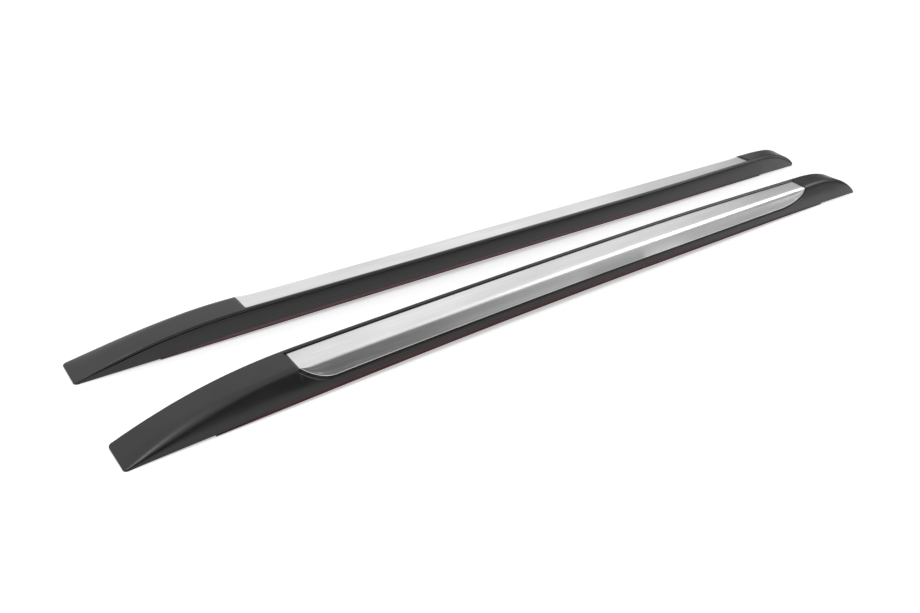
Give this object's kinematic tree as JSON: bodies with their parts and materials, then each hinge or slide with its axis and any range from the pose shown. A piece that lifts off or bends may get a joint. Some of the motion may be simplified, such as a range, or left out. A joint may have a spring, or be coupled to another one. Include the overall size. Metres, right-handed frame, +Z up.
{
  "type": "roof side rail pair",
  "caption": "Pair of low stick-on roof side rails, each a hollow black plastic moulding with a long front nose, a brushed metal trim strip and red foam mounting strips.",
  "frame": {"origin": "middle of the pair's footprint, on the surface that the rails' tips stand on", "axes": "+X along the rails from the long front noses to the short rear noses, +Y from the left rail to the right rail, +Z up"},
  "size_m": [1.7044, 0.2746, 0.054],
  "materials": {
    "cover_plastic": "fine grained matte black",
    "brushed_trim": "brushed along the rail, clear satin",
    "bonding_tape": "thin double-sided acrylic foam",
    "foam_tape": "dull dark red closed-cell foam",
    "release_liner": "dull red film"
  },
  "bodies": {
    "root": {"left_rail_cover": "cover_plastic", "left_trim_strip": "brushed_trim", "left_trim_top_tape": "bonding_tape", "left_trim_side_tape": "bonding_tape", "left_inner_edge_tape": "foam_tape", "left_outer_edge_tape": "foam_tape", "left_front_cross_tape": "foam_tape", "left_rear_cross_tape": "foam_tape", "left_inner_liner": "release_liner", "left_outer_liner": "release_liner", "left_front_cross_liner": "release_liner", "left_rear_cross_liner": "release_liner", "right_rail_cover": "cover_plastic", "right_trim_strip": "brushed_trim", "right_trim_top_tape": "bonding_tape", "right_trim_side_tape": "bonding_tape", "right_inner_edge_tape": "foam_tape", "right_outer_edge_tape": "foam_tape", "right_front_cross_tape": "foam_tape", "right_rear_cross_tape": "foam_tape", "right_inner_liner": "release_liner", "right_outer_liner": "release_liner", "right_front_cross_liner": "release_liner", "right_rear_cross_liner": "release_liner"}
  },
  "joints": []
}
